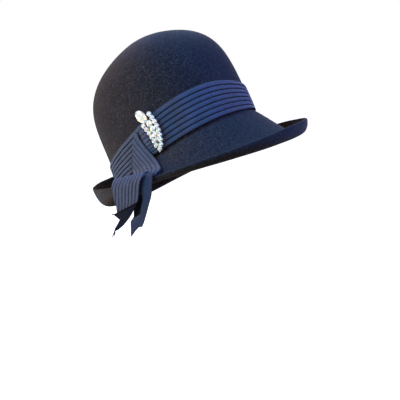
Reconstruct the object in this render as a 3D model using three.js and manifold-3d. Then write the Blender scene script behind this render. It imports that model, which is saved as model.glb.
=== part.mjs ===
// Cloche hat: a blocked felt crown and rolled brim in one piece, a pleated ribbon band with its
// wrap, fan and two hanging tails, and a stone-set brooch pinned over the wrap.
// Millimetres. +Z is plumb up, -Y is the wearer's front, +X is the wearer's left, and the origin
// is the centre of the head opening, where a head holds the hat.

import * as THREE from 'three';
import { mergeVertices } from 'three/addons/utils/BufferGeometryUtils.js';
import Module from 'manifold-3d';

// How the hat is worn. The rim is level in the hat's own frame and is tipped back on the head;
// the head opening is tipped a little more than the rim.
const WORN_TILT = 21.7;
const OPENING_TILT = 15.5;

// Felt: outer half axes of the head opening, the power of its oval, and the wall.
const HEAD_HALF_LENGTH = 99.5;
const HEAD_HALF_WIDTH = 84.8;
const OVAL_POWER = 2.34;
const FELT_WALL = 2.2;
const AROUND = 64;

// Dome over the opening: rise, how far it swells past a plain ellipse, and its lean to the front.
const DOME = {
  rise: 147.7, swell: 0.86, swellRise: 2.63, swellFall: 1.06, lean: 10.9, leanPower: 4.0,
};

// Values that change around the hat, each as a mean and its share at the front (against the
// back), at both ends (against both sides), at the right (against the left) and on the diagonals.
const BRIM = {
  reach: { mean: 35.0, front: 15.1, ends: -1.5, right: -3.1, diagonals: 0.4 },
  crest: { mean: -6.2, front: 0.6, ends: 1.5, right: -3.9, diagonals: 0.2 },
  lip: { mean: 19.8, front: -13.2, ends: 6.8, right: -4.9, diagonals: -0.4 },
};
const BRIM_FLARE = 0.415;
const BRIM_SAG = 0.45;
const BRIM_FLAT = 0.7;
const LIP_OUT = 10.6;
const LIP_ANGLES = [18, 36, 54, 71, 86];

// Ribbon band, by its height over the head opening.
const BAND = {
  foot: { mean: 3.0, front: -1.1, ends: 0.3, right: -1.0, diagonals: 2.1 },
  top: { mean: 33.1, front: 6.4, ends: 0.6, right: 5.8, diagonals: 3.9 },
};
const PLEATS = 7;
const BAND_BASE = 1.1;
const PLEAT_PROUD = 0.8;
const PLEAT_STEP = [0.04, 0.3];
const GAP = 0.35;

// Wrap over the band's join: its middle line by angle from the front to the right and height.
const WRAP = { width: 11, height: 3.1, ribs: 8, ribDepth: 0.35, endHeight: 0.45, endSteps: 5.5 };
const WRAP_SIDES = 8;
const WRAP_LINE = [
  { angle: 76.8, rise: 40.5 },
  { angle: 76.2, rise: 19.0 },
  { angle: 72.8, rise: 2.5 },
];

// Fan of the same ribbon, in the head opening's frame, from the wrap down on to the brim.
const RIBBON_THICK = 1.6;
const FAN_ROWS = [
  { back: [-88.4, -20.0, 36.9], front: [-88.5, -22.0, 34.5] },
  { back: [-88.6, -12.6, 31.2], front: [-88.8, -21.4, 26.6] },
  { back: [-88.8, -5.0, 24.7], front: [-89.6, -23.2, 17.6] },
  { back: [-89.1, 1.3, 17.4], front: [-91.2, -27.2, 7.4] },
  { back: [-89.6, 7.4, 9.9], front: [-94.0, -32.0, -2.4] },
  { back: [-92.2, 10.4, 1.3], front: [-99.4, -38.0, -11.6] },
  { back: [-101.5, 3.8, -7.2], front: [-108.2, -44.0, -19.0] },
  { back: [-104.9, 0.7, -10.0], front: [-112.9, -37.6, -21.3] },
];

// Tails, in plumb coordinates: each row is one line across the ribbon.
const PLEATED_TAIL_ROWS = [
  { back: [-104.0, 4.0, -10.5], front: [-115.0, -36.0, 8.2] },
  { back: [-118.0, 4.5, -6.8], front: [-124.4, -41.0, 11.6] },
  { back: [-128.8, 4.0, -6.0], front: [-131.8, -43.0, 11.4] },
  { back: [-133.8, 3.0, -13.0], front: [-135.8, -41.2, 3.6] },
  { back: [-134.8, 0.1, -20.7], front: [-136.4, -40.2, -4.6] },
  { back: [-135.2, -2.2, -28.4], front: [-136.6, -39.6, -11.5] },
  { back: [-135.4, -4.4, -35.0], front: [-136.6, -38.6, -16.8] },
  { back: [-135.6, -1.6, -43.4], front: [-136.4, -34.5, -23.0] },
  { back: [-135.5, -2.5, -51.0], front: [-136.0, -26.0, -37.5] },
  { back: [-135.4, 0.0, -58.5], front: [-135.8, -17.5, -49.5] },
  { back: [-135.2, 2.0, -65.0], front: [-135.6, -6.0, -61.0] },
];
const PLAIN_TAIL_ROWS = [
  { back: [-113.0, -24.0, -1.6], front: [-116.5, -44.5, 8.0] },
  { back: [-124.0, -25.5, 0.0], front: [-124.0, -51.0, 11.6] },
  { back: [-130.6, -25.0, -0.2], front: [-129.6, -54.2, 12.4] },
  { back: [-132.8, -24.0, -6.0], front: [-132.4, -54.6, 3.0] },
  { back: [-133.0, -23.5, -20.0], front: [-132.6, -53.0, -9.5] },
  { back: [-133.0, -24.0, -34.0], front: [-132.8, -48.0, -26.5] },
  { back: [-133.0, -25.0, -48.0], front: [-133.0, -43.2, -45.0] },
  { back: [-133.0, -25.2, -64.0], front: [-133.0, -36.5, -51.5] },
];

// Brooch: its middle in the head opening's frame, the way it faces, and its stones by how far
// forward and up they sit from the middle.
const BROOCH_MIDDLE = [-89.9, -38, 30];
const BROOCH_TURN = 14;
const SETTING = { back: -2.5, floor: -2.1, face: 0, wall: 0.75, facets: 16 };
const STONE = {
  gap: 0.3, culet: -1.8, girdleLow: -0.5, girdleHigh: -0.2, table: 0.8, tableShare: 0.58, facets: 12,
};
const OVAL_STONE = { at: [1.3, 15.5], length: 16.0, width: 9.8, lean: 17.5 };
const STONE_ROWS = [
  { name: 'outer', stones: 8, diameter: 4.3, from: [11.8, 13.3], bend: [16.5, -5.1], to: [6.4, -22.7] },
  { name: 'inner', stones: 6, diameter: 4.3, from: [-1.6, 5.6], bend: [1.9, -5.0], to: [0.9, -20.6] },
];
const SINGLE_STONES = [
  { name: 'middle_1', at: [6.4, 4.1], diameter: 6.4 },
  { name: 'middle_2', at: [6.9, -2.9], diameter: 6.0 },
  { name: 'middle_3', at: [6.3, -9.6], diameter: 5.4 },
  { name: 'end', at: [2.6, -26.2], diameter: 4.2 },
];
const PIN = { radius: 0.45, top: [6.6, 8.0], foot: [3.2, -17.5], drop: 0.95 };

const FELT = new THREE.MeshStandardMaterial({ color: 0x1c1f2b, roughness: 0.95, metalness: 0 });
const RIBBON = new THREE.MeshStandardMaterial({ color: 0x2c3752, roughness: 0.75, metalness: 0 });
const SILVER = new THREE.MeshStandardMaterial({ color: 0xd8dade, roughness: 0.22, metalness: 1 });
const CRYSTAL = new THREE.MeshStandardMaterial({ color: 0xf2f5fa, roughness: 0.05, metalness: 0 });

const rad = THREE.MathUtils.degToRad;
const wasm = await Module();
wasm.setup();

// A value around the hat at an angle from the front towards the wearer's right.
function around(row, angle) {
  return row.mean + row.front * Math.cos(angle) + (row.right ?? 0) * Math.sin(angle)
    + (row.ends ?? 0) * Math.cos(2 * angle) + (row.diagonals ?? 0) * Math.sin(2 * angle);
}

// Direction of the oval head opening at an angle, for unit half axes.
function oval(angle) {
  const c = Math.cos(angle);
  const s = Math.sin(angle);
  const k = (Math.abs(c) ** OVAL_POWER + Math.abs(s) ** OVAL_POWER) ** (-1 / OVAL_POWER);
  return { side: -k * s, front: -k * c };
}

// Point on the crown in the opening's frame; phi runs from 0 at the opening to 90 at the top.
function crownPoint(angle, phi, proud = 0) {
  const swell = 1 + DOME.swell * Math.sin(phi) ** DOME.swellRise * Math.cos(phi) ** DOME.swellFall;
  const size = Math.max(0, Math.cos(phi)) * swell;
  const lean = -DOME.lean * (1 - (1 - phi / (Math.PI / 2)) ** DOME.leanPower);
  const o = oval(angle);
  return new THREE.Vector3(
    (HEAD_HALF_WIDTH + proud) * size * o.side,
    (HEAD_HALF_LENGTH + proud) * size * o.front + lean,
    DOME.rise * Math.sin(phi),
  );
}

// Point over the crown's outer face at a height above the opening.
function overCrown(angle, rise, proud) {
  return crownPoint(angle, Math.asin(rise / DOME.rise), proud);
}

// From the opening's frame into the hat's own frame, in which the rim is level.
function levelRim(point) {
  return point.applyAxisAngle(new THREE.Vector3(1, 0, 0), -rad(OPENING_TILT));
}

// Geometry from its points and the corners of its triangles.
function indexed(points, faces) {
  const g = new THREE.BufferGeometry();
  g.setAttribute('position', new THREE.Float32BufferAttribute(points.flatMap((p) => p.toArray()), 3));
  g.setIndex(faces);
  return g;
}

// Felt: one sheet from the top of the dome to the lip's edge, thickened to both sides.
function feltGeometry() {
  const domeAngles = [84, 76, 67, 58, 49, 40, 31, 22, 13, 5, 0];
  const brimSteps = [0.14, 0.28, 0.42, 0.56, 0.7, 0.85, 1];
  const half = FELT_WALL / 2;
  const rings = domeAngles.map(() => []);
  brimSteps.concat(LIP_ANGLES).forEach(() => rings.push([]));
  for (let j = 0; j < AROUND; j += 1) {
    const angle = (2 * Math.PI * j) / AROUND;
    domeAngles.forEach((phi, i) => rings[i].push(levelRim(crownPoint(angle, rad(phi), -half))));
    const root = rings[domeAngles.length - 1][j];
    const out = new THREE.Vector2(
      -Math.sin(angle) / HEAD_HALF_WIDTH,
      -Math.cos(angle) / HEAD_HALF_LENGTH,
    ).normalize();
    const reach = around(BRIM.reach, angle);
    const lip = around(BRIM.lip, angle);
    const drop = root.z - (around(BRIM.crest, angle) - lip) - half;
    const slope = new THREE.CubicBezierCurve(
      new THREE.Vector2(0, 0),
      new THREE.Vector2(BRIM_FLARE * reach, -BRIM_SAG * drop),
      new THREE.Vector2(BRIM_FLAT * reach, -drop),
      new THREE.Vector2(reach, -drop),
    );
    const section = brimSteps.map((u) => slope.getPoint(u));
    const last = rad(LIP_ANGLES[LIP_ANGLES.length - 1]);
    LIP_ANGLES.map(rad).forEach((a) => section.push(new THREE.Vector2(
      reach + (LIP_OUT * Math.sin(a)) / Math.sin(last),
      -drop + ((lip - half) * (1 - Math.cos(a))) / (1 - Math.cos(last)),
    )));
    section.forEach((q, i) => rings[domeAngles.length + i].push(
      new THREE.Vector3(root.x + out.x * q.x, root.y + out.y * q.x, root.z + q.y),
    ));
  }
  const top = levelRim(crownPoint(0, Math.PI / 2));
  const upward = levelRim(new THREE.Vector3(0, 0, 1));
  const faces = [];
  const points = [];
  [half, -half].forEach((shift) => {
    rings.forEach((ring, i) => ring.forEach((p, j) => {
      const above = i ? rings[i - 1][j] : top;
      const below = rings[Math.min(i + 1, rings.length - 1)][j];
      const next = ring[(j + 1) % AROUND].clone().sub(ring[(j + AROUND - 1) % AROUND]);
      const normal = next.cross(below.clone().sub(above)).normalize();
      points.push(p.clone().addScaledVector(normal, shift));
    }));
    points.push(top.clone().addScaledVector(upward, shift - half));
  });
  const sheet = rings.length * AROUND + 1;
  const at = (side, i, j) => side * sheet + i * AROUND + (j % AROUND);
  for (let j = 0; j < AROUND; j += 1) {
    faces.push(sheet - 1, at(0, 0, j + 1), at(0, 0, j));
    faces.push(2 * sheet - 1, at(1, 0, j), at(1, 0, j + 1));
    for (let i = 0; i + 1 < rings.length; i += 1) {
      faces.push(at(0, i, j), at(0, i, j + 1), at(0, i + 1, j + 1));
      faces.push(at(0, i, j), at(0, i + 1, j + 1), at(0, i + 1, j));
      faces.push(at(1, i, j), at(1, i + 1, j + 1), at(1, i, j + 1));
      faces.push(at(1, i, j), at(1, i + 1, j), at(1, i + 1, j + 1));
    }
    const edge = rings.length - 1;
    faces.push(at(0, edge, j), at(0, edge, j + 1), at(1, edge, j + 1));
    faces.push(at(0, edge, j), at(1, edge, j + 1), at(1, edge, j));
  }
  return indexed(points, faces);
}

// A closed ring of sections: sections[j] lists one section's points in the same order.
function loopGeometry(sections, closed = true) {
  const n = sections[0].length;
  const m = sections.length;
  const faces = [];
  for (let j = 0; j < (closed ? m : m - 1); j += 1) {
    const k = (j + 1) % m;
    for (let i = 0; i < n; i += 1) {
      const l = (i + 1) % n;
      faces.push(j * n + i, k * n + i, k * n + l, j * n + i, k * n + l, j * n + l);
    }
  }
  const points = sections.flat();
  if (!closed) {
    [0, m - 1].forEach((j) => {
      const middle = new THREE.Vector3();
      sections[j].forEach((p) => middle.addScaledVector(p, 1 / n));
      points.push(middle);
      for (let i = 0; i < n; i += 1) {
        const a = j * n + i;
        const b = j * n + ((i + 1) % n);
        faces.push(points.length - 1, ...(j ? [b, a] : [a, b]));
      }
    });
  }
  return facingOut(indexed(points, faces));
}

// Turn a closed geometry's faces outwards if its volume comes out negative.
function facingOut(g) {
  const p = g.getAttribute('position');
  const index = Array.from(g.getIndex().array);
  const corner = (i) => new THREE.Vector3().fromBufferAttribute(p, index[i]);
  let volume = 0;
  for (let i = 0; i < index.length; i += 3) {
    volume += corner(i).dot(corner(i + 1).cross(corner(i + 2)));
  }
  if (volume < 0) {
    for (let i = 0; i < index.length; i += 3) {
      [index[i], index[i + 1]] = [index[i + 1], index[i]];
    }
    g.setIndex(index);
  }
  return g;
}

// Band: a loop whose outer face steps in from one pleat to the next.
function bandGeometry() {
  const sections = [];
  for (let j = 0; j < AROUND; j += 1) {
    const angle = (2 * Math.PI * j) / AROUND;
    const foot = around(BAND.foot, angle);
    const pitch = (around(BAND.top, angle) - foot) / PLEATS;
    const section = [];
    for (let k = 0; k < PLEATS; k += 1) {
      section.push(overCrown(angle, foot + pitch * (k + PLEAT_STEP[0]), GAP + BAND_BASE));
      section.push(overCrown(
        angle,
        foot + pitch * (k + PLEAT_STEP[1]),
        GAP + BAND_BASE + PLEAT_PROUD,
      ));
    }
    section.push(overCrown(angle, foot + pitch * PLEATS, GAP + BAND_BASE));
    for (let k = PLEATS; k >= 0; k -= 1) {
      section.push(overCrown(angle, foot + pitch * k, GAP));
    }
    sections.push(section);
  }
  return loopGeometry(sections);
}

// Wrap: a half-round roll of ribbon across the band, ribbed along its length.
function wrapGeometry() {
  const line = new THREE.CatmullRomCurve3(WRAP_LINE.map((r) => new THREE.Vector3(r.angle, r.rise, 0)));
  const steps = WRAP.ribs * 4;
  const seat = GAP + BAND_BASE + PLEAT_PROUD + GAP;
  const sections = [];
  for (let i = 0; i <= steps; i += 1) {
    const q = line.getPoint(i / steps);
    const ends = Math.min(1, WRAP.endHeight + Math.min(i, steps - i) / WRAP.endSteps);
    const rib = WRAP.ribDepth * Math.abs(Math.sin((Math.PI * WRAP.ribs * i) / steps));
    const height = (WRAP.height - WRAP.ribDepth + rib) * ends;
    const section = [];
    for (let k = 0; k <= WRAP_SIDES; k += 1) {
      const turn = (Math.PI * k) / WRAP_SIDES;
      const across = (Math.cos(turn) * WRAP.width) / 2;
      const angle = rad(q.x) + across / HEAD_HALF_LENGTH;
      section.push(overCrown(angle, q.y, seat + height * Math.sin(turn)));
    }
    sections.push(section);
  }
  return loopGeometry(sections, false);
}

// Ribbon strip: a smooth sheet through the rows' two edges, bowed out a little in its middle.
function stripGeometry(rows, steps, bow) {
  const edge = (key) => new THREE.CatmullRomCurve3(rows.map((r) => new THREE.Vector3(...r[key])));
  const back = edge('back');
  const front = edge('front');
  const across = 5;
  const middle = [];
  for (let i = 0; i <= steps; i += 1) {
    const a = back.getPoint(i / steps);
    const b = front.getPoint(i / steps);
    const line = [];
    for (let k = 0; k <= across; k += 1) line.push(a.clone().lerp(b, k / across));
    middle.push(line);
  }
  const normals = middle.map((line, i) => line.map((p, k) => {
    const down = middle[Math.min(i + 1, steps)][k].clone().sub(middle[Math.max(i - 1, 0)][k]);
    const over = line[Math.min(k + 1, across)].clone().sub(line[Math.max(k - 1, 0)]);
    return over.cross(down).normalize();
  }));
  const sections = middle.map((line, i) => {
    const face = (side) => line.map((p, k) => {
      const rise = bow * 4 * (k / across) * (1 - k / across);
      return p.clone().addScaledVector(normals[i][k], rise + (side * RIBBON_THICK) / 2);
    });
    return face(1).concat(face(-1).reverse());
  });
  return loopGeometry(sections, false);
}

// manifold-3d solid from a closed geometry, and back.
function solid(geometry) {
  const g = geometry.index ? geometry.clone() : geometry;
  g.deleteAttribute('normal');
  g.deleteAttribute('uv');
  const merged = mergeVertices(g);
  return new wasm.Manifold(new wasm.Mesh({
    numProp: 3,
    vertProperties: Float32Array.from(merged.getAttribute('position').array),
    triVerts: Uint32Array.from(merged.getIndex().array),
  }));
}

function geometryOf(manifold) {
  const mesh = manifold.getMesh();
  const g = new THREE.BufferGeometry();
  g.setAttribute('position', new THREE.BufferAttribute(Float32Array.from(mesh.vertProperties), 3));
  g.setIndex(Array.from(mesh.triVerts));
  return g;
}

// Every stone: its name, place on the brooch, half axes and lean.
function stoneList() {
  const list = [{
    name: 'stone_oval', at: OVAL_STONE.at, half: [OVAL_STONE.width / 2, OVAL_STONE.length / 2],
    lean: rad(OVAL_STONE.lean),
  }];
  STONE_ROWS.forEach((row) => {
    const curve = new THREE.QuadraticBezierCurve(
      new THREE.Vector2(...row.from),
      new THREE.Vector2(...row.bend),
      new THREE.Vector2(...row.to),
    );
    curve.getSpacedPoints(row.stones - 1).forEach((p, i) => list.push({
      name: `stone_${row.name}_${i + 1}`, at: [p.x, p.y], half: [row.diameter / 2, row.diameter / 2],
      lean: 0,
    }));
  });
  SINGLE_STONES.forEach((s) => list.push({
    name: `stone_${s.name}`, at: s.at, half: [s.diameter / 2, s.diameter / 2], lean: 0,
  }));
  return list;
}

// Turned form about the brooch's outward axis, stretched to an oval and set in its place.
function turned(profile, stone, facets) {
  const g = new THREE.LatheGeometry(profile.map((p) => new THREE.Vector2(...p)), facets);
  g.rotateX(Math.PI / 2);
  g.scale(1, stone.half[1] / stone.half[0], 1);
  g.rotateZ(stone.lean);
  g.translate(stone.at[0], stone.at[1], 0);
  return g;
}

function stoneGeometry(stone) {
  const r = stone.half[0];
  return turned([
    [0, STONE.culet], [r, STONE.girdleLow], [r, STONE.girdleHigh],
    [STONE.tableShare * r, STONE.table], [0, STONE.table],
  ], stone, STONE.facets);
}

// Setting: a solid cup under each stone, joined into one plate, less each stone's seat.
function settingGeometry(stones) {
  const cup = (stone, extra, low, high) => {
    const r = stone.half[0] + extra;
    return solid(turned([[0, low], [r, low], [r, high], [0, high]], stone, SETTING.facets));
  };
  let plate = null;
  stones.forEach((s) => {
    const body = cup(s, STONE.gap + SETTING.wall, SETTING.back, SETTING.face);
    plate = plate ? plate.add(body) : body;
  });
  stones.forEach((s) => {
    plate = plate.subtract(cup(s, STONE.gap, SETTING.floor, SETTING.face + 1));
  });
  return geometryOf(plate);
}

// Pin: a plain wire behind the setting.
function pinGeometry() {
  const depth = SETTING.back - STONE.gap - PIN.drop / 2;
  const path = new THREE.LineCurve3(
    new THREE.Vector3(...PIN.top, depth),
    new THREE.Vector3(...PIN.foot, depth),
  );
  const round = new THREE.Shape().absarc(0, 0, PIN.radius, 0, 2 * Math.PI);
  return new THREE.ExtrudeGeometry(round, { extrudePath: path, steps: 1, curveSegments: 5 });
}

function piece(name, geometry, material) {
  const mesh = new THREE.Mesh(geometry, material);
  mesh.name = name;
  return mesh;
}

const group = new THREE.Group();
const hat = new THREE.Group();
hat.rotation.x = -rad(WORN_TILT);
group.add(hat);
hat.add(piece('felt_body', feltGeometry(), FELT));

const opening = new THREE.Group();
opening.rotation.x = -rad(OPENING_TILT);
hat.add(opening);
opening.add(piece('hat_band', bandGeometry(), RIBBON));
opening.add(piece('ribbon_wrap', wrapGeometry(), RIBBON));
opening.add(piece('ribbon_fan', stripGeometry(FAN_ROWS, 18, 0.6), RIBBON));

const brooch = new THREE.Group();
brooch.position.set(...BROOCH_MIDDLE);
const turn = rad(BROOCH_TURN);
brooch.setRotationFromMatrix(new THREE.Matrix4().makeBasis(
  new THREE.Vector3(Math.sin(turn), -Math.cos(turn), 0),
  new THREE.Vector3(0, 0, 1),
  new THREE.Vector3(-Math.cos(turn), -Math.sin(turn), 0),
));
opening.add(brooch);
const stones = stoneList();
brooch.add(piece('brooch_setting', settingGeometry(stones), SILVER));
stones.forEach((s) => brooch.add(piece(s.name, stoneGeometry(s), CRYSTAL)));
brooch.add(piece('brooch_pin', pinGeometry(), SILVER));

group.add(piece('tail_pleated', stripGeometry(PLEATED_TAIL_ROWS, 26, 0.8), RIBBON));
group.add(piece('tail_plain', stripGeometry(PLAIN_TAIL_ROWS, 24, 0.4), RIBBON));

export default group;
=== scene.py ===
import math

import bmesh
import bpy
import numpy as np
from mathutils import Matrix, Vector


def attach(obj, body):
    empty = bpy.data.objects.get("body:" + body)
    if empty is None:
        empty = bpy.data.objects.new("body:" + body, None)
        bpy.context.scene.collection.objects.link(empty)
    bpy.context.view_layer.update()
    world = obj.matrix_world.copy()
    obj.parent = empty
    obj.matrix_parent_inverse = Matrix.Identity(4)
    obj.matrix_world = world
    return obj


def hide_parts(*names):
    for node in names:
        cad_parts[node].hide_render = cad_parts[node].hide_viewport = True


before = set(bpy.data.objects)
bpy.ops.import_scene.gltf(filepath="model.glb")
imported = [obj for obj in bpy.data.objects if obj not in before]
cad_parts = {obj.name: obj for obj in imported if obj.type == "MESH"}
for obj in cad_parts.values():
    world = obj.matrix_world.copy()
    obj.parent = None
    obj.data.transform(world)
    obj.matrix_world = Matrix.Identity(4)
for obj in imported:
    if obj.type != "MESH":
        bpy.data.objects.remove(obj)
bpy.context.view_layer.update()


# ---- Felt hood ------------------------------------------------------------------------------
# The hat itself is one hood of dyed wool felt, steamed and pulled over a block: a high round
# crown that leans a little forward and runs out into a sloping brim with a pressed-up edge.
# Lengths are millimetres, +Z is plumb, -Y is the wearer's front and +X the wearer's left.

MM = 0.001
RIM_TILT = 21.7
OPENING_TILT = 15.5
HEAD_LENGTH, HEAD_WIDTH, HEAD_OVAL = 99.5, 84.8, 2.34
CROWN_RISE, CROWN_LEAN, CROWN_LEAN_POWER = 147.7, 10.9, 4.0
SWELL, SWELL_RISE, SWELL_FALL = 0.86, 2.63, 1.06
FELT = 2.2
LIP_OUT, LIP_TURN = 10.6, 86
FELT_STEPS_AROUND, CROWN_ROWS, BRIM_ROWS, LIP_ROWS = 288, 70, 34, 22
BRIM_LEAVES_OUT, BRIM_LEAVES_DOWN, BRIM_ARRIVES_OUT = 0.415, 0.45, 0.7
EDGE_ROUND = [30, 55, 78]


def shared_out(angle, mean, front=0, ends=0, right=0, diagonals=0):
    """A size that changes around the hat, at angles from the front towards the wearer's right."""
    return (mean + front * np.cos(angle) + right * np.sin(angle)
            + ends * np.cos(2 * angle) + diagonals * np.sin(2 * angle))


def crown_point(angle, climb, proud=0.0):
    """Points on the crown, or proud of it; climb is 0 at the head opening and 90 degrees on top."""
    power = HEAD_OVAL
    oval = (np.abs(np.cos(angle)) ** power + np.abs(np.sin(angle)) ** power) ** (-1 / power)
    swell = 1 + SWELL * np.sin(climb) ** SWELL_RISE * np.clip(np.cos(climb), 0, 1) ** SWELL_FALL
    size = np.clip(np.cos(climb), 0, 1) * swell
    lean = CROWN_LEAN * (1 - np.clip(1 - climb / (np.pi / 2), 0, 1) ** CROWN_LEAN_POWER)
    x = -(HEAD_WIDTH + proud) * size * oval * np.sin(angle)
    y = -(HEAD_LENGTH + proud) * size * oval * np.cos(angle) - lean
    z = CROWN_RISE * np.sin(climb) + 0 * x
    return np.stack([x, y, z], -1)


def over_crown(angle, rise, proud):
    """Points over the crown's outside at a height above the head opening."""
    return crown_point(angle, np.arcsin(np.clip(rise / CROWN_RISE, 0, 1)), proud)


def tipped(points, degrees):
    """Tips points back about the ear-to-ear line, front upwards."""
    c, s = math.cos(math.radians(degrees)), math.sin(math.radians(degrees))
    x, y, z = points[..., 0], points[..., 1], points[..., 2]
    return np.stack([x, y * c + z * s, z * c - y * s], -1)


def outward(points, ring=False):
    """Unit normals of a grid of points."""
    down = np.roll(points, -1, 0) - np.roll(points, 1, 0) if ring else np.gradient(points, axis=0)
    normal = np.cross(down, np.gradient(points, axis=1))
    return normal / np.maximum(np.linalg.norm(normal, axis=-1, keepdims=True), 1e-9)


def two_faced(name, face, back, ring=False, weave=None, crease=50):
    """A closed mesh from two grids of points, the face of a cloth and its back, joined at every
    edge. ring joins the last row to the first. weave holds each point's place on the cloth."""
    rows, cols = face.shape[:2]
    count = rows * cols
    grid = np.arange(count + (cols if ring else 0)).reshape(-1, cols)
    quads = np.stack([grid[:-1, :-1], grid[1:, :-1], grid[1:, 1:], grid[:-1, 1:]], -1).reshape(-1, 4)
    borders = [grid[:, 0], grid[:, -1]] + ([] if ring else [grid[0], grid[-1]])
    start = np.concatenate([b[:-1] for b in borders])
    stop = np.concatenate([b[1:] for b in borders])
    on_face = np.concatenate([quads, np.stack([start, stop, stop, start], -1), quads[:, ::-1]])
    behind = np.zeros_like(on_face)
    behind[len(quads):len(quads) + len(start), 2:] = count
    behind[len(quads) + len(start):] = count
    mesh = bpy.data.meshes.new(name)
    corners = on_face % count + behind
    points = np.concatenate([face.reshape(-1, 3), back.reshape(-1, 3)]) * MM
    mesh.from_pydata(points.tolist(), [], corners.tolist())
    if weave is not None:
        layer = mesh.uv_layers.new(name="cloth")
        layer.data.foreach_set("uv", weave.reshape(-1, 2)[on_face.ravel()].astype(np.float32).ravel())
    tidy = bmesh.new()
    tidy.from_mesh(mesh)
    bmesh.ops.remove_doubles(tidy, verts=tidy.verts, dist=1e-7)
    bmesh.ops.recalc_face_normals(tidy, faces=tidy.faces)
    tidy.to_mesh(mesh)
    tidy.free()
    mesh.shade_smooth()
    mesh.set_sharp_from_angle(angle=math.radians(crease))
    made = bpy.data.objects.new(name, mesh)
    bpy.context.scene.collection.objects.link(made)
    return made


def finish_named(name):
    """A new material, its node tree and its main shader."""
    material = bpy.data.materials.new(name)
    material.use_nodes = True
    return material, material.node_tree, material.node_tree.nodes["Principled BSDF"]


def put(tree, kind, inputs=None, **settings):
    """Adds a node, with settings and with inputs given as values or as other nodes' outputs."""
    made = tree.nodes.new(kind)
    for key, value in settings.items():
        setattr(made, key, value)
    for socket, value in (inputs or {}).items():
        if isinstance(value, bpy.types.NodeSocket):
            tree.links.new(value, made.inputs[socket])
        else:
            made.inputs[socket].default_value = value
    return made


def tones(tree, amount, stops):
    """A colour ramp over an amount, from (place, colour) pairs."""
    ramp = put(tree, "ShaderNodeValToRGB", {"Fac": amount})
    marks = ramp.color_ramp.elements
    while len(marks) < len(stops):
        marks.new(0.5)
    for mark, (place, colour) in zip(marks, stops):
        mark.position, mark.color = place, (*colour, 1)
    return ramp.outputs["Color"]


def felt_finish():
    """Dyed wool felt: short matted fibres with paler hairs among them, and a soft nap."""
    material, tree, shader = finish_named("wool_felt")
    place = put(tree, "ShaderNodeTexCoord").outputs["Object"]
    hairs = put(tree, "ShaderNodeTexNoise", {"Vector": place, "Scale": 480, "Detail": 6,
                                             "Roughness": 0.78, "Distortion": 1.6}).outputs[0]
    clumps = put(tree, "ShaderNodeTexNoise", {"Vector": place, "Scale": 150, "Detail": 3}).outputs[0]
    blotches = put(tree, "ShaderNodeTexNoise", {"Vector": place, "Scale": 22, "Detail": 2}).outputs[0]
    speckle = tones(tree, hairs, [(0.37, (0.003, 0.003, 0.006)), (0.52, (0.022, 0.018, 0.029)),
                                  (0.64, (0.094, 0.069, 0.096))])
    cast = tones(tree, blotches, [(0.3, (0.86, 0.86, 0.88)), (0.7, (1.14, 1.12, 1.10))])
    depth = tones(tree, clumps, [(0.3, (0.82, 0.82, 0.82)), (0.7, (1.16, 1.16, 1.16))])
    dyed = put(tree, "ShaderNodeMix", data_type="RGBA", blend_type="MULTIPLY")
    dyed.inputs["Factor"].default_value = 1
    tree.links.new(speckle, dyed.inputs["A"])
    tree.links.new(cast, dyed.inputs["B"])
    colour = put(tree, "ShaderNodeMix", data_type="RGBA", blend_type="MULTIPLY")
    colour.inputs["Factor"].default_value = 1
    tree.links.new(dyed.outputs["Result"], colour.inputs["A"])
    tree.links.new(depth, colour.inputs["B"])
    tree.links.new(colour.outputs["Result"], shader.inputs["Base Color"])
    fine = put(tree, "ShaderNodeTexNoise", {"Vector": place, "Scale": 1700, "Detail": 3}).outputs[0]
    fibre = put(tree, "ShaderNodeBump", {"Height": fine, "Strength": 0.35, "Distance": 0.0004})
    nap = put(tree, "ShaderNodeBump", {"Height": hairs, "Strength": 0.6, "Distance": 0.0006,
                                       "Normal": fibre.outputs["Normal"]})
    tree.links.new(nap.outputs["Normal"], shader.inputs["Normal"])
    matt = put(tree, "ShaderNodeMapRange", {"Value": clumps, "To Min": 0.86, "To Max": 1.0})
    tree.links.new(matt.outputs["Result"], shader.inputs["Roughness"])
    shader.inputs["Specular IOR Level"].default_value = 0.12
    shader.inputs["Sheen Weight"].default_value = 0.16
    shader.inputs["Sheen Roughness"].default_value = 0.55
    shader.inputs["Sheen Tint"].default_value = (0.80, 0.80, 0.86, 1)
    return material


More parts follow.
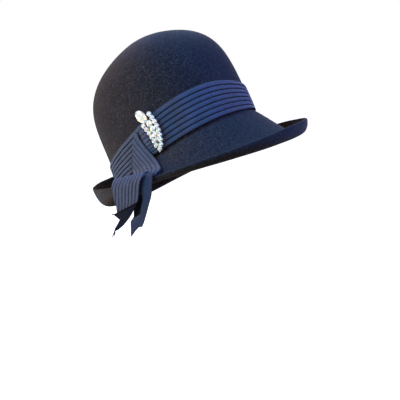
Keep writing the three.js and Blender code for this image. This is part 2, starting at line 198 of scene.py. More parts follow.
def felt_sheet():
    """The middle of the felt, from the top of the crown to the edge, a row for each angle."""
    half = FELT / 2
    angle = np.arange(FELT_STEPS_AROUND)[:, None] * 2 * np.pi / FELT_STEPS_AROUND
    climb = np.radians(np.linspace(90, 0, CROWN_ROWS))[None, :]
    crown = tipped(crown_point(angle, climb, -half), OPENING_TILT)
    root = crown[:, -1]
    turn = angle[:, 0]
    out = np.stack([-np.sin(turn) / HEAD_WIDTH, -np.cos(turn) / HEAD_LENGTH], -1)
    out /= np.linalg.norm(out, axis=-1, keepdims=True)
    reach = shared_out(turn, 35.0, front=15.1, ends=-1.5, right=-3.1, diagonals=0.4)
    crest = shared_out(turn, -6.2, front=0.6, ends=1.5, right=-3.9, diagonals=0.2) - half
    lip = shared_out(turn, 19.8, front=-13.2, ends=6.8, right=-4.9, diagonals=-0.4)
    drop = root[:, 2] - crest + lip
    u = np.linspace(0, 1, BRIM_ROWS)[1:, None]
    near_crown, near_crest = 3 * u * (1 - u) ** 2, 3 * u ** 2 * (1 - u)
    run = near_crown * BRIM_LEAVES_OUT * reach + near_crest * BRIM_ARRIVES_OUT * reach + u ** 3 * reach
    fall = near_crown * BRIM_LEAVES_DOWN * drop + (near_crest + u ** 3) * drop
    rolled = np.radians(np.linspace(0, LIP_TURN, LIP_ROWS))[1:, None]
    run = np.vstack([run, reach + LIP_OUT * np.sin(rolled) / np.sin(rolled[-1])])
    fall = np.vstack([fall, drop - lip * (1 - np.cos(rolled)) / (1 - np.cos(rolled[-1]))])
    wave = 0.35 * np.sin(3 * turn + 0.6) + 0.25 * np.sin(7 * turn + 2.1) + 0.12 * np.sin(17 * turn)
    fall = fall - wave * np.linspace(0, 1, len(fall))[:, None] ** 2
    brim = np.stack([root[:, 0] + out[:, 0] * run, root[:, 1] + out[:, 1] * run,
                     root[:, 2] - fall], -1).transpose(1, 0, 2)
    return np.concatenate([crown, brim], 1)


sheet = felt_sheet()
normal = outward(sheet, ring=True)
normal[:, 0] = tipped(np.array([0.0, 0.0, 1.0]), OPENING_TILT)
if normal[0, CROWN_ROWS // 3, 2] < 0:
    normal[:, 1:] *= -1
edge = sheet[:, -1] - sheet[:, -2]
edge /= np.linalg.norm(edge, axis=-1, keepdims=True)
edge_round = np.radians(EDGE_ROUND)[None, :, None]
past = sheet[:, -1:] + FELT / 2 * np.sin(edge_round) * edge[:, None]
bulge = FELT / 2 * np.cos(edge_round) * normal[:, -1:]
hood = two_faced("felt_hood",
                 tipped(np.concatenate([sheet + FELT / 2 * normal, past + bulge], 1), RIM_TILT),
                 tipped(np.concatenate([sheet - FELT / 2 * normal, past - bulge], 1), RIM_TILT),
                 ring=True)
hood.data.materials.append(felt_finish())
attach(hood, "root")
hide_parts("felt_body")


# ---- Pleated band ---------------------------------------------------------------------------
# A strip of grosgrain folded into seven narrow pleats that lap downwards like shingles, each
# with a picot edge, steamed to the crown's taper and stitched down around the hat.

WORN_TILT = RIM_TILT + OPENING_TILT
PLEATS = 7
BAND_GAP, BAND_BODY = 0.35, 1.1
TOOTH = 1.8
PICOTS, PICOT = 330, 0.42
BAND_STEPS = 2 * PICOTS
MEASURED_ROW = 30
PLEAT_SHAPE = [(0.03, -0.50), (-0.02, 0.20), (-0.02, 0.66), (0.05, 0.92), (0.20, 1.00),
               (0.50, 0.92), (0.72, 0.80), (0.81, 0.45), (0.86, -0.50)]


def ribbon_finish(name, dark, mid, pale, line=0.9, sheen=0.22):
    """Grosgrain: fine ribs across the ribbon, a soft sheen, and painted shade in each pleat's groove."""
    material, tree, shader = finish_named(name)
    place = put(tree, "ShaderNodeUVMap", uv_map="cloth").outputs["UV"]
    split = put(tree, "ShaderNodeSeparateXYZ", {"Vector": place})
    along, across = split.outputs["X"], split.outputs["Y"]

    def sums(operation, first, second=0.0, clamp=False):
        return put(tree, "ShaderNodeMath", {0: first, 1: second}, operation=operation,
                   use_clamp=clamp).outputs[0]

    ribs = sums("SINE", sums("MULTIPLY", along, 2 * math.pi / 0.75))
    teeth = sums("SINE", sums("MULTIPLY", along, 2 * math.pi / TOOTH))
    # Painted shade: a toothed dark line near the top of each pleat, in the groove under the next pleat's
    # edge; line sets how dark it is painted.
    pleat = sums("ADD", sums("FRACT", across), sums("MULTIPLY", teeth, 0.08))
    off_groove = sums("ABSOLUTE", sums("SUBTRACT", pleat, 0.92))
    groove_shade = sums("MULTIPLY", sums("SUBTRACT", 0.15, off_groove), 20.0, clamp=True)
    body = put(tree, "ShaderNodeTexCoord").outputs["Object"]
    patches = put(tree, "ShaderNodeTexNoise", {"Vector": body, "Scale": 60, "Detail": 4}).outputs[0]
    threads = put(tree, "ShaderNodeTexNoise", {"Vector": body, "Scale": 900, "Detail": 2}).outputs[0]
    weave = sums("ADD", sums("MULTIPLY", ribs, 0.14), sums("MULTIPLY", threads, 0.5))
    tone = sums("ADD", weave, sums("MULTIPLY", patches, 0.5))
    colour = tones(tree, tone, [(0.25, dark), (0.5, mid), (0.8, pale)])
    groove_shaded = put(tree, "ShaderNodeMix", data_type="RGBA")
    tree.links.new(sums("MULTIPLY", groove_shade, line), groove_shaded.inputs["Factor"])
    tree.links.new(colour, groove_shaded.inputs["A"])
    groove_shaded.inputs["B"].default_value = (*(0.25 * c for c in dark), 1)
    tree.links.new(groove_shaded.outputs["Result"], shader.inputs["Base Color"])
    relief = put(tree, "ShaderNodeBump", {"Height": ribs, "Strength": 0.6, "Distance": 0.0002})
    yarn = put(tree, "ShaderNodeBump", {"Height": threads, "Strength": 0.3, "Distance": 0.0002,
                                        "Normal": relief.outputs["Normal"]})
    tree.links.new(yarn.outputs["Normal"], shader.inputs["Normal"])
    rough = put(tree, "ShaderNodeMapRange", {"Value": patches, "To Min": 0.52, "To Max": 0.72})
    tree.links.new(rough.outputs["Result"], shader.inputs["Roughness"])
    shader.inputs["Specular IOR Level"].default_value = 1.4 * sheen
    shader.inputs["Sheen Weight"].default_value = sheen
    shader.inputs["Sheen Roughness"].default_value = 0.4
    shader.inputs["Sheen Tint"].default_value = (0.75, 0.80, 1.0, 1)
    return material


def pleat_profile(picot):
    """Heights in pleats and depths in millimetres up a stack of pleats, for each picot offset."""
    heights, depths = [], []
    for pleat in range(PLEATS):
        for place, (height, depth) in enumerate(PLEAT_SHAPE):
            nose = 1.0 if 1 <= place <= 3 else (0.4 if place == 4 else 0.0)
            if pleat == PLEATS - 1 and place >= 7:
                height, depth = (0.90, 0.3) if place == 7 else (1.0, -0.30)
            heights.append(pleat + height - nose * picot)
            depths.append(depth + 0 * picot)
    return np.stack(heights, -1), np.stack(depths, -1)


ribbon = ribbon_finish("grosgrain", (0.018, 0.025, 0.062), (0.044, 0.062, 0.146),
                       (0.092, 0.118, 0.252))
angle = (np.arange(BAND_STEPS) + 0.5) * 2 * np.pi / BAND_STEPS
foot = shared_out(angle, 3.0, front=-1.1, ends=0.3, right=-1.0, diagonals=2.1)
pitch = (shared_out(angle, 33.1, front=6.4, ends=0.6, right=5.8, diagonals=3.9) - foot) / PLEATS
saw = np.tile([PICOT, -PICOT], PICOTS)
heights, depths = pleat_profile(saw / pitch)
face = over_crown(angle[:, None], foot[:, None] + pitch[:, None] * heights,
                  BAND_GAP + BAND_BODY + depths)
level = np.linspace(0.02, 0.98, heights.shape[1])[None, :] * PLEATS
back = over_crown(angle[:, None], foot[:, None] + pitch[:, None] * level, BAND_GAP)
edge_line = face[:, MEASURED_ROW]
step = np.linalg.norm(np.roll(edge_line, -1, 0) - edge_line, axis=-1)
travel = np.concatenate([[0], np.cumsum(step)]) + step[-1] / 2
weave = np.stack([np.repeat(travel[:, None], heights.shape[1], 1),
                  np.vstack([heights, heights[:1]])], -1)
band = two_faced("pleated_band", tipped(face, WORN_TILT), tipped(back, WORN_TILT), ring=True, weave=weave)
band.data.materials.append(ribbon)
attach(band, "root")
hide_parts("hat_band")


# ---- Wrap over the join ---------------------------------------------------------------------
# A short length of the same ribbon gathered into a roll and drawn over the band where its two
# ends meet, with eight soft ribs pressed across it.

WRAP_WIDTH, WRAP_HEIGHT, WRAP_RIBS = 11.0, 3.4, 8
RIB_STEPS, WRAP_COLUMNS = 14, 27
RIB_PUFF, PLEAT_NOSE = 0.75, 0.8
WRAP_LINE = [(76.8, 40.5), (76.2, 19.0), (72.8, 2.5)]


def smooth_line(points, steps, smooth=True):
    """A line through a few points in even steps, smooth as Catmull and Rom draw it or straight."""
    points = np.asarray(points, float)
    padded = np.vstack([2 * points[0] - points[1], points, 2 * points[-1] - points[-2]])
    where = np.linspace(0, len(points) - 1, steps)
    piece = np.minimum(where.astype(int), len(points) - 2)
    t = (where - piece)[:, None]
    a, b, c, d = (padded[piece + k] for k in range(4))
    if not smooth:
        return b + (c - b) * t
    return 0.5 * (2 * b + (c - a) * t + (2 * a - 5 * b + 4 * c - d) * t ** 2
                  + (3 * b - a - 3 * c + d) * t ** 3)


steps = WRAP_RIBS * RIB_STEPS + 1
line = smooth_line(WRAP_LINE, steps)
share = np.linspace(0, 1, steps)
puff = np.abs(np.sin(np.pi * WRAP_RIBS * share)) ** 0.45
ends = np.clip(np.minimum(share, 1 - share) * 14 + 0.35, 0, 1)
across = np.linspace(0, np.pi, WRAP_COLUMNS)
width = WRAP_WIDTH * (0.94 + 0.06 * puff) / 2
turn = np.radians(line[:, :1]) + width[:, None] * np.cos(across) / HEAD_LENGTH
slant = 1.3 * np.sin(across) - 0.4
seat = BAND_GAP + BAND_BODY + PLEAT_NOSE + BAND_GAP
height = (WRAP_HEIGHT - RIB_PUFF + RIB_PUFF * puff) * ends
face = over_crown(turn, line[:, 1:] - slant, seat + 0.2 + height[:, None] * np.sin(across) ** 0.8)
back = over_crown(turn, line[:, 1:] - slant, seat - 0.1 + 0 * turn)
weave = np.stack([np.repeat(across[None, :] * WRAP_WIDTH / 2, steps, 0),
                  np.repeat(share[:, None] * WRAP_RIBS, len(across), 1)], -1)
wrap = two_faced("wrap_roll", tipped(face, WORN_TILT), tipped(back, WORN_TILT), weave=weave)
wrap.data.materials.append(ribbon)
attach(wrap, "root")
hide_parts("ribbon_wrap")


# ---- Ribbon fan -----------------------------------------------------------------------------
# The pleated ribbon again, folded to a point under the wrap and spread on the slant down to the
# brim, where it turns under. Its pleats run beside the front edge; a narrow strip along the back
# edge is painted dark, painted shade for the shadow line there.

PLEAT_WIDTH = 7.4
FAN_STEPS, FAN_SHADE_COLUMNS = 150, 6
FAN_BOW, FAN_TUCK = 0.6, 1.3
FAN_ROWS = [
    ((-88.4, -20.0, 36.9), (-88.5, -22.0, 34.5)),
    ((-88.6, -12.6, 31.2), (-88.8, -21.4, 26.6)),
    ((-88.8, -5.0, 24.7), (-89.6, -23.2, 17.6)),
    ((-89.1, 1.3, 17.4), (-91.2, -27.2, 7.4)),
    ((-89.6, 7.4, 9.9), (-94.0, -32.0, -2.4)),
    ((-92.2, 10.4, 1.3), (-99.4, -38.0, -11.6)),
    ((-101.5, 3.8, -7.2), (-108.2, -44.0, -19.0)),
    ((-104.9, 0.7, -10.0), (-112.9, -37.6, -21.3)),
]


def ribbon_grid(rows, steps, columns, smooth=True):
    """Points across a ribbon between its back and front edges, and the distances along and across."""
    back_edge = smooth_line([r[0] for r in rows], steps, smooth)[:, None]
    front_edge = smooth_line([r[1] for r in rows], steps, smooth)[:, None]
    share = np.linspace(0, 1, columns)[None, :, None]
    points = back_edge * (1 - share) + front_edge * share
    middle = points[:, columns // 2]
    along = np.concatenate([[0], np.cumsum(np.linalg.norm(np.diff(middle, axis=0), axis=-1))])
    width = np.linalg.norm(front_edge - back_edge, axis=-1)
    return points, along[:, None] + 0 * share[..., 0], width * (1 - share[..., 0])


def lapped(distance, along, proud, width):
    """How far each point of a pleated ribbon stands out: flat pleats with deep toothed grooves."""
    tooth = 0.28 * np.abs(along / TOOTH % 1 - 0.5) / width
    part = distance / width % 1
    groove = 0.75 / width
    rise = np.clip(part / (0.5 * groove), 0, 1)
    rise = rise * np.clip((1 - groove + tooth - part) / (0.5 * groove), 0, 1)
    return proud * (1.35 * rise * (1 - 0.25 * part) - 0.5)


def ribbon_piece(name, points, along, distance, proud=0.0, thick=1.0, width=PLEAT_WIDTH):
    """A ribbon of real thickness with pleats on its face and edges brought together."""
    normal = outward(points)
    relief = lapped(distance, along, proud, width)
    rows, cols = points.shape[:2]
    edge = np.minimum(np.arange(cols), np.arange(cols)[::-1])[None, :]
    end = np.minimum(np.arange(rows), np.arange(rows)[::-1])[:, None]
    fall = np.clip(0.35 + 0.33 * np.minimum(edge, end), 0, 1)
    face = points + normal * ((thick / 2 + relief) * fall)[..., None]
    back = points - normal * (thick / 2 * fall)[..., None]
    weave = np.stack([along, distance / width], -1)
    return two_faced(name, face, back, weave=weave, crease=60)


def show_painted_shade(piece, where):
    """Gives faces the second material, the painted-shade copy, wherever a grid of its points says so."""
    faces = piece.data.polygons
    side = np.zeros(len(faces), int)
    side[:where[1:, 1:].size] = where[1:, 1:].ravel()
    faces.foreach_set("material_index", side)


# A much darker copy of the grosgrain: painted shade, laid where the ribbon is turned away or shaded.
painted_shade_ribbon = ribbon_finish("grosgrain_painted_shade", (0.004, 0.006, 0.014), (0.008, 0.012, 0.030),
                        (0.016, 0.023, 0.054), line=0.6, sheen=0.03)
points, along, distance = ribbon_grid(FAN_ROWS, FAN_STEPS, FAN_STEPS)
bow = np.sin(np.pi * np.linspace(0, 1, FAN_STEPS))[None, :]
under = np.clip(np.linspace(-11.5, 1, FAN_STEPS), 0, 1)[:, None] ** 2
points = points + outward(points) * (FAN_BOW * bow - FAN_TUCK * under)[..., None]
fan = ribbon_piece("ribbon_fan_fold", tipped(points, WORN_TILT), along, distance, 0.7)
fan.data.materials.append(ribbon)
fan.data.materials.append(painted_shade_ribbon)
# Painted shade: the columns along the back edge take the dark copy of the grosgrain.
show_painted_shade(fan, np.repeat(np.arange(FAN_STEPS)[None, :] < FAN_SHADE_COLUMNS, FAN_STEPS, 0))
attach(fan, "root")
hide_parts("ribbon_fan")


# ---- Ribbon tails ---------------------------------------------------------------------------
# Two free ends come out from under the fan and hang over the rolled edge of the brim. The front
# one is pleated, turns over at the bottom and frays; the other is plain with a swallow-tail cut.

PLEATED_ROWS = [
    ((-104.0, 4.0, -10.5), (-115.0, -36.0, 8.2)),
    ((-118.0, 4.5, -6.8), (-124.4, -41.0, 11.6)),
    ((-128.8, 4.0, -6.0), (-131.8, -43.0, 11.4)),
    ((-133.8, 3.0, -13.0), (-135.8, -41.2, 3.6)),
    ((-134.8, 0.1, -20.7), (-136.4, -40.2, -4.6)),
    ((-135.2, -2.2, -28.4), (-136.6, -39.6, -11.5)),
    ((-135.4, -4.4, -35.0), (-136.6, -38.6, -16.8)),
    ((-135.4, -4.9, -40.6), (-136.5, -36.5, -20.5)),
]
PLAIN_ROWS = [
    ((-113.0, -24.0, -1.6), (-116.5, -44.5, 8.0)),
    ((-124.0, -25.5, 0.0), (-124.0, -51.0, 11.6)),
    ((-130.6, -26.5, -0.2), (-129.6, -53.6, 12.4)),
    ((-132.8, -26.5, -8.0), (-132.4, -54.8, 3.0)),
    ((-133.0, -24.6, -21.5), (-132.6, -53.8, -9.7)),
    ((-133.0, -23.3, -33.6), (-132.8, -50.0, -21.9)),
    ((-133.0, -22.9, -46.0), (-132.9, -46.0, -34.3)),
    ((-133.0, -22.8, -54.5), (-133.0, -42.4, -44.5)),
]

TAIL_PLEAT = 5.6
THREAD_STEPS, THREAD_THICK_END, THREAD_THIN_END = 24, 0.75, 0.45
TURNED_STEPS = 151
PLAIN_STEPS, PLAIN_COLUMNS, CUT_STEPS = 130, 80, 50
CUT_DEPTH, FOLDED_IN = 16, 5.5
TURNED_ROWS = [
    ((-134.1, -3.0, -38.0), (-134.6, -38.3, -15.5)),
    ((-134.1, -3.6, -41.1), (-134.6, -35.5, -20.5)),
    ((-134.0, 2.1, -45.0), (-134.5, -30.0, -30.5)),
    ((-134.1, -7.4, -49.0), (-134.4, -26.3, -37.1)),
    ((-134.1, -3.2, -55.6), (-134.4, -22.0, -43.8)),
    ((-134.1, 1.1, -62.3), (-134.3, -13.0, -54.5)),
    ((-134.0, 2.2, -66.0), (-134.2, -4.3, -62.1)),
]
THREADS = [
    [(-134.1, 0.3, -63.4), (-133.8, 2.8, -67.9), (-133.0, 5.1, -71.3), (-132.5, 7.7, -75.2)],
    [(-134.1, 1.2, -64.5), (-134.2, 1.0, -68.0), (-133.6, 3.0, -70.2), (-133.9, 2.2, -72.4)],
    [(-134.0, 1.6, -44.8), (-134.2, 3.6, -45.6), (-133.6, 5.0, -44.9)],
]
SWALLOW_CUT = [(-133.0, -22.6, -66.7), (-133.0, -30.5, -56.2), (-133.0, -35.1, -51.3),
               (-133.0, -39.9, -49.5)]


def rod(path, radii, sides=8):
    """Points and faces of a round rod along a path, closed at both ends."""
    path = np.asarray(path, float)
    run = np.gradient(path, axis=0)
    run /= np.linalg.norm(run, axis=-1, keepdims=True)
    aside = np.cross(run, [0.31, 0.52, 0.79])
    aside /= np.linalg.norm(aside, axis=-1, keepdims=True)
    other = np.cross(run, aside)
    turn = np.arange(sides) * 2 * np.pi / sides
    ring = aside[:, None] * np.cos(turn)[:, None] + other[:, None] * np.sin(turn)[:, None]
    rings = path[:, None] + ring * np.broadcast_to(radii, len(path))[:, None, None]
    around = [(i * sides + k, i * sides + (k + 1) % sides, (i + 1) * sides + (k + 1) % sides,
               (i + 1) * sides + k) for i in range(len(path) - 1) for k in range(sides)]
    last = (len(path) - 1) * sides
    return rings.reshape(-1, 3), around + [tuple(range(sides))[::-1], tuple(range(last, last + sides))]


def joined(name, shapes, crease=40):
    """One mesh from several closed shapes, each given as points and faces."""
    points, faces, so_far = [], [], 0
    for shape_points, shape_faces in shapes:
        points.append(np.asarray(shape_points) * MM)
        faces += [tuple(int(corner) + so_far for corner in face) for face in shape_faces]
        so_far += len(shape_points)
    mesh = bpy.data.meshes.new(name)
    mesh.from_pydata(np.concatenate(points).tolist(), [], faces)
    tidy = bmesh.new()
    tidy.from_mesh(mesh)
    bmesh.ops.recalc_face_normals(tidy, faces=tidy.faces)
    tidy.to_mesh(mesh)
    tidy.free()
    mesh.shade_smooth()
    mesh.set_sharp_from_angle(angle=math.radians(crease))
    made = bpy.data.objects.new(name, mesh)
    bpy.context.scene.collection.objects.link(made)
    return made


points, along, distance = ribbon_grid(PLEATED_ROWS, 220, 130)
pleated = ribbon_piece("tail_pleated_front", points, along, distance, proud=0.6, width=TAIL_PLEAT)
pleated.data.materials.append(ribbon)
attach(pleated, "root")
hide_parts("tail_pleated")

thinning = np.linspace(THREAD_THICK_END, THREAD_THIN_END, THREAD_STEPS)
threads = joined("tail_frayed_threads",
                 [rod(smooth_line(line, THREAD_STEPS), thinning, 6) for line in THREADS])
# The threads take the dark copy of the grosgrain: painted shade.
threads.data.materials.append(painted_shade_ribbon)
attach(threads, "root")

points, along, distance = ribbon_grid(TURNED_ROWS, TURNED_STEPS, 70, smooth=False)
curl = 0.35 * np.sin(distance / 3.1 + along / 9) * np.clip(np.arange(TURNED_STEPS) / 60, 0, 1)[:, None]
points[..., 0] += np.where(distance > 12, 0, curl)
turned_end = ribbon_piece("tail_turned_end", points, along, distance, proud=0.12, thick=0.7,
                          width=TAIL_PLEAT)
# The turned end takes the dark copy of the grosgrain: painted shade on the ribbon's wrong side.
turned_end.data.materials.append(painted_shade_ribbon)
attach(turned_end, "root")

points, along, distance = ribbon_grid(PLAIN_ROWS, PLAIN_STEPS, PLAIN_COLUMNS)
share = np.linspace(0, 1, PLAIN_COLUMNS)
cut = np.stack([np.interp(share, [0, 0.5, 0.75, 1], [p[k] for p in SWALLOW_CUT]) for k in range(3)], -1)
below = np.linspace(0, 1, CUT_STEPS)[1:, None, None]
points = np.concatenate([points, points[-1:] * (1 - below) + cut * below])
along = np.concatenate([along, along[-1] + CUT_DEPTH * below[..., 0] + 0 * share])
distance = np.concatenate([distance, np.repeat(distance[-1:], CUT_STEPS - 1, 0)])
fold = np.clip((0.62 - share) / 0.14, 0, 1)[None, :]
over_crease = points[..., 2] + 34 + (points[..., 1] + 45) * 0.62
fold = fold * np.clip(over_crease / 4, 0, 1) * np.clip((-9 - points[..., 2]) / 10, 0, 1)
points[..., 0] += FOLDED_IN * fold
plain = ribbon_piece("tail_plain_cut", points, along, distance, width=40)
# The plain tail's own copy of the grosgrain, darker and less glossy: painted shade.
plain.data.materials.append(ribbon_finish("grosgrain_plain_painted_shade", (0.010, 0.016, 0.044),
                                          (0.022, 0.036, 0.096), (0.046, 0.068, 0.165), sheen=0.1))
plain.data.materials.append(painted_shade_ribbon)
# Painted shade: where the tail is pressed in behind the pleated tail, its faces take the dark copy of the
# grosgrain.
show_painted_shade(plain, fold > 0.5)
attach(plain, "root")
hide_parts("tail_plain")


# ---- Brooch ---------------------------------------------------------------------------------
# A spray of clear cut stones: a large oval over two curved rows and a short middle row. Each
# stone sits in a silver-coloured cup and is held by claws; a plain pin runs behind the cups.
# Places are in the brooch's own plane, as forward, up and outward from its middle.

BROOCH_MIDDLE = np.array([-89.9, -38.0, 30.0])
BROOCH_TURN = math.radians(14)
OVAL_AT, OVAL_HALF, OVAL_LEAN = (1.3, 15.5), (4.9, 8.0), math.radians(17.5)
ROW_STONE = 2.15
STONE_ROWS = {
    "outer": (8, (11.8, 13.3), (16.5, -5.1), (6.4, -22.7)),
    "inner": (6, (-1.6, 5.6), (1.9, -5.0), (0.9, -20.6)),
}
SINGLE_STONES = {
    "middle_1": ((6.4, 4.1), 3.2), "middle_2": ((6.9, -2.9), 3.0), "middle_3": ((6.3, -9.6), 2.7),
    "end": ((2.6, -26.2), 2.1),
}
SMALL_STONE = ((5.8, -14.9), 1.5)
CUT = [(0.0, -1.8, 1, 0), (0.55, -1.16, 8, 0.5), (1.0, -0.5, 16, 0), (1.0, -0.22, 16, 0),
       (0.82, 0.40, 8, 0.5), (0.57, 0.8, 8, 0)]
CUP = [(None, -2.5), (0.62, -2.5), (0.66, -1.2), (0.60, -0.28), (0.42, -0.16), (0.24, -0.26),
       (0.24, -1.9), (None, -1.9)]
CUP_SIDES = 36
CLAW, CLAW_TAPER = 0.21, [1.0, 1.0, 0.97, 0.9, 0.8, 0.55]
CLAW_BEND = [(0.42, -1.9), (0.44, -0.7), (0.36, -0.05), (0.12, 0.28), (-0.14, 0.46)]
CLAW_TIP_HEIGHT = 0.60
TIP_LINE = [(1.9, -27.6, -1.6), (1.2, -28.4, -1.2), (0.5, -29.2, -1.3), (0.1, -29.6, -1.9)]
TIP_RADII = [0.9, 0.8, 0.55, 0.3]


def on_brooch(points):
    """From the brooch's plane to its place over the wrap."""
    c, s = math.cos(BROOCH_TURN), math.sin(BROOCH_TURN)
    forward_up_outward = np.array([[s, -c, 0], [0, 0, 1], [-c, -s, 0]])
    return tipped(np.asarray(points, float) @ forward_up_outward + BROOCH_MIDDLE, WORN_TILT)


def stone_places():
    """Every stone by name, as its place, its two half widths and its lean."""
    places = {"oval": (OVAL_AT, OVAL_HALF, OVAL_LEAN)}
    for row, (count, start, bend, stop) in STONE_ROWS.items():
        t = np.linspace(0, 1, 200)[:, None]
        curve = (1 - t) ** 2 * start + 2 * t * (1 - t) * np.array(bend) + t ** 2 * np.array(stop)
        run = np.concatenate([[0], np.cumsum(np.linalg.norm(np.diff(curve, axis=0), axis=-1))])
        for k, length in enumerate(np.linspace(0, run[-1], count)):
            at = tuple(np.interp(length, run, curve[:, axis]) for axis in (0, 1))
            places[f"{row}_{k + 1}"] = (at, (ROW_STONE, ROW_STONE), 0.0)
    for name, (at, half) in SINGLE_STONES.items():
        places[name] = (at, (half, half), 0.0)
    return places


def from_middle(stone, x, y, height):
    """A point so far from a stone's middle along its two axes, at a height over its girdle."""
    (u, v), _, lean = stone
    return (u + x * math.cos(lean) - y * math.sin(lean),
            v + x * math.sin(lean) + y * math.cos(lean), height)


def about_stone(stone, offset, turn, height):
    """A point beside a stone: so far past its edge, at a turn around it."""
    half_u, half_v = stone[1]
    x, y = (half_u + offset) * math.cos(turn), (half_v + offset) * math.sin(turn)
    return from_middle(stone, x, y, height)


def cut_stone(name, stone):
    """A brilliant: flat facets between a point below, a round girdle and a flat table."""
    half_u, half_v = stone[1]
    shape = bmesh.new()
    for share, height, sides, offset in CUT:
        for k in range(sides):
            turn = 2 * math.pi * (k + offset) / sides
            x, y = half_u * share * math.cos(turn), half_v * share * math.sin(turn)
            shape.verts.new(on_brooch([from_middle(stone, x, y, height)])[0] * MM)
    hull = bmesh.ops.convex_hull(shape, input=shape.verts)
    inside = [g for g in hull["geom_interior"] if isinstance(g, bmesh.types.BMVert)]
    bmesh.ops.delete(shape, geom=inside, context="VERTS")
    mesh = bpy.data.meshes.new(name)
    shape.to_mesh(mesh)
    shape.free()
    made = bpy.data.objects.new(name, mesh)
    bpy.context.scene.collection.objects.link(made)
    return made


def cup_shape(stone):
    """The open cup behind a stone, turned about its middle."""
    points, faces = [], []
    for offset, height in CUP:
        for k in range(CUP_SIDES):
            if offset is not None:
                points.append(about_stone(stone, offset, 2 * math.pi * k / CUP_SIDES, height))
    rings = len(points) // CUP_SIDES
    for ring in range(rings - 1):
        for k in range(CUP_SIDES):
            a, b = ring * CUP_SIDES + k, ring * CUP_SIDES + (k + 1) % CUP_SIDES
            faces.append((a, b, b + CUP_SIDES, a + CUP_SIDES))
    last = (rings - 1) * CUP_SIDES
    faces += [tuple(range(CUP_SIDES))[::-1], tuple(range(last, last + CUP_SIDES))]
    return on_brooch(points), faces


def claw_shapes(stone, count, reach=0.45):
    """Claws around a stone, each bent in over its edge."""
    shapes = []
    for k in range(count):
        turn = 2 * math.pi * (k + 0.5) / count
        bend = [*CLAW_BEND, (-reach, CLAW_TIP_HEIGHT)]
        path = [about_stone(stone, offset, turn, height) for offset, height in bend]
        shapes.append(rod(on_brooch(path), CLAW * np.array(CLAW_TAPER)))
    return shapes


def silver_finish():
    """Bright plated metal with fine handling marks."""
    material, tree, shader = finish_named("bright_silver")
    place = put(tree, "ShaderNodeTexCoord").outputs["Object"]
    marks = put(tree, "ShaderNodeTexNoise", {"Vector": place, "Scale": 900, "Detail": 3}).outputs[0]
    plate = tones(tree, marks, [(0.35, (0.78, 0.79, 0.81)), (0.6, (0.93, 0.93, 0.95))])
    tree.links.new(plate, shader.inputs["Base Color"])
    rough = put(tree, "ShaderNodeMapRange", {"Value": marks, "To Min": 0.18, "To Max": 0.40})
    tree.links.new(rough.outputs["Result"], shader.inputs["Roughness"])
    shader.inputs["Metallic"].default_value = 0.85
    return material


def crystal_finish(name, deep, middle, bright, cells):
    """Foil-backed cut glass: bright and dim patches of painted reflection stand for the back facets
    showing through the face.
    """
    material, tree, shader = finish_named(name)
    place = put(tree, "ShaderNodeTexCoord").outputs["Object"]
    # Painted reflection: Voronoi patches in near-white tones stand for light off the back facets.
    facets = put(tree, "ShaderNodeTexVoronoi", {"Vector": place, "Scale": cells}, distance="CHEBYCHEV")
    painted_reflection = put(tree, "ShaderNodeSeparateColor", {"Color": facets.outputs["Color"]}).outputs["Red"]
    colour = tones(tree, painted_reflection, [(0.05, deep), (0.35, middle), (0.75, bright)])
    tree.links.new(colour, shader.inputs["Base Color"])
    shader.inputs["Roughness"].default_value = 0.06
    shader.inputs["Metallic"].default_value = 0.6
    shader.inputs["IOR"].default_value = 1.7
    shader.inputs["Coat Weight"].default_value = 0.6
    shader.inputs["Coat Roughness"].default_value = 0.03
    return material


silver = silver_finish()
crystal = crystal_finish("cut_crystal", (0.48, 0.50, 0.54), (0.90, 0.90, 0.92), (1.0, 1.0, 1.0), 900)
moonstone = crystal_finish("oval_crystal", (0.56, 0.66, 0.74), (0.92, 0.86, 0.74),
                           (1.0, 0.98, 0.92), 420)

stones = stone_places()
for place, stone in stones.items():
    gem = cut_stone(f"cut_stone_{place}", stone)
    gem.data.materials.append(moonstone if place == "oval" else crystal)
    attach(gem, "root")
    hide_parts(f"stone_{place}")

small = (SMALL_STONE[0], (SMALL_STONE[1], SMALL_STONE[1]), 0.0)
small_gem = cut_stone("cut_stone_small", small)
small_gem.data.materials.append(crystal)
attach(small_gem, "root")

metalwork = []
for place, stone in [*stones.items(), ("small", small)]:
    metalwork.append(cup_shape(stone))
    metalwork += claw_shapes(stone, 14, reach=0.7) if place == "oval" else claw_shapes(stone, 6)
metalwork.append(rod(on_brooch(TIP_LINE), np.array(TIP_RADII), 12))
cups = joined("brooch_cups", metalwork)
cups.data.materials.append(silver)
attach(cups, "root")
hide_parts("brooch_setting")

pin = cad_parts["brooch_pin"]
pin.data.materials.clear()
pin.data.materials.append(silver)


# ---- Studio ---------------------------------------------------------------------------------
# A plain white floor and backdrop under six soft lights: warm ones from behind the wearer and
# near the camera, cool ones from either side of it, and a pale one beyond the hat. The camera is
# a little above the hat, off the wearer's right.

LOOK_AT = Vector((-7.4, -27.4, -58.6)) * MM
AZIMUTH, ELEVATION, ROLL = (math.radians(a) for a in (-54.34, 20.58, -0.46))
STAND_OFF = 752.9 * MM
FLOOR_HALF, FLOOR_DOWN = 4, 0.6
LIGHT_SIZE = 1.0
LIGHTS = [
    ("left_front", (-1.1, 0.4, 0.9), 19, (0.32, 0.84, 1.0)),
    ("low_left", (-1.4, -0.5, -0.1), 24, (1.0, 0.50, 0.16)),
    ("high_left", (-1.0, 1.1, -0.2), 4, (1.0, 0.35, 0.1)),
    ("high_right", (0.9, 1.1, 0.5), 28, (0.03, 0.27, 1.0)),
    ("near", (0.1, 0.3, 1.6), 5.5, (1.0, 0.66, 0.2)),
    ("behind", (0.3, 0.6, -1.3), 6, (0.95, 0.9, 1.0)),
]

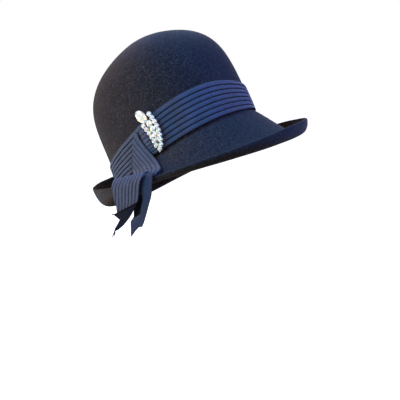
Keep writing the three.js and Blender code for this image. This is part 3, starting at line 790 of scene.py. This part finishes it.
towards = Vector((math.sin(AZIMUTH) * math.cos(ELEVATION),
                  -math.cos(AZIMUTH) * math.cos(ELEVATION), math.sin(ELEVATION)))
rightward = Vector((math.cos(AZIMUTH), math.sin(AZIMUTH), 0))
upward = towards.cross(rightward)

camera = bpy.data.objects.new("camera", bpy.data.cameras.new("camera"))
camera.data.lens, camera.data.sensor_width = 53.13, 36
camera.location = LOOK_AT + towards * STAND_OFF
camera.rotation_euler = towards.to_track_quat("Z", "Y").to_euler()
camera.rotation_euler.rotate_axis("Z", -ROLL)
bpy.context.scene.collection.objects.link(camera)
bpy.context.scene.camera = camera

floor_mesh = bpy.data.meshes.new("floor")
floor_corners = [(-1, -1), (1, -1), (1, 1), (-1, 1)]
floor_mesh.from_pydata([(FLOOR_HALF * x, FLOOR_HALF * y, -FLOOR_DOWN) for x, y in floor_corners],
                       [], [(0, 1, 2, 3)])
floor = bpy.data.objects.new("floor", floor_mesh)
bpy.context.scene.collection.objects.link(floor)
white, white_tree, white_shader = finish_named("white_paint")
white_shader.inputs["Base Color"].default_value = (0.9, 0.9, 0.9, 1)
white_shader.inputs["Roughness"].default_value = 0.9
white_shader.inputs["Emission Color"].default_value = (1, 1, 1, 1)
white_shader.inputs["Emission Strength"].default_value = 1
floor_mesh.materials.append(white)
floor.visible_diffuse = floor.visible_glossy = False


def soft_light(name, place, watts, colour):
    """A square area light, placed by how far right, up and near it is of the hat as seen."""
    right, up, near = place
    lamp = bpy.data.lights.new(name, "AREA")
    lamp.size, lamp.energy, lamp.color = LIGHT_SIZE, watts, colour
    made = bpy.data.objects.new(name, lamp)
    made.location = rightward * right + upward * up + towards * near
    made.rotation_euler = made.location.to_track_quat("Z", "Y").to_euler()
    bpy.context.scene.collection.objects.link(made)


for light in LIGHTS:
    soft_light(*light)

world = bpy.data.worlds.new("backdrop")
world.use_nodes = True
world.node_tree.nodes["Background"].inputs["Color"].default_value = (1, 1, 1, 1)
world.cycles_visibility.diffuse = False
bpy.context.scene.world = world
bpy.context.scene.view_settings.view_transform = "Standard"
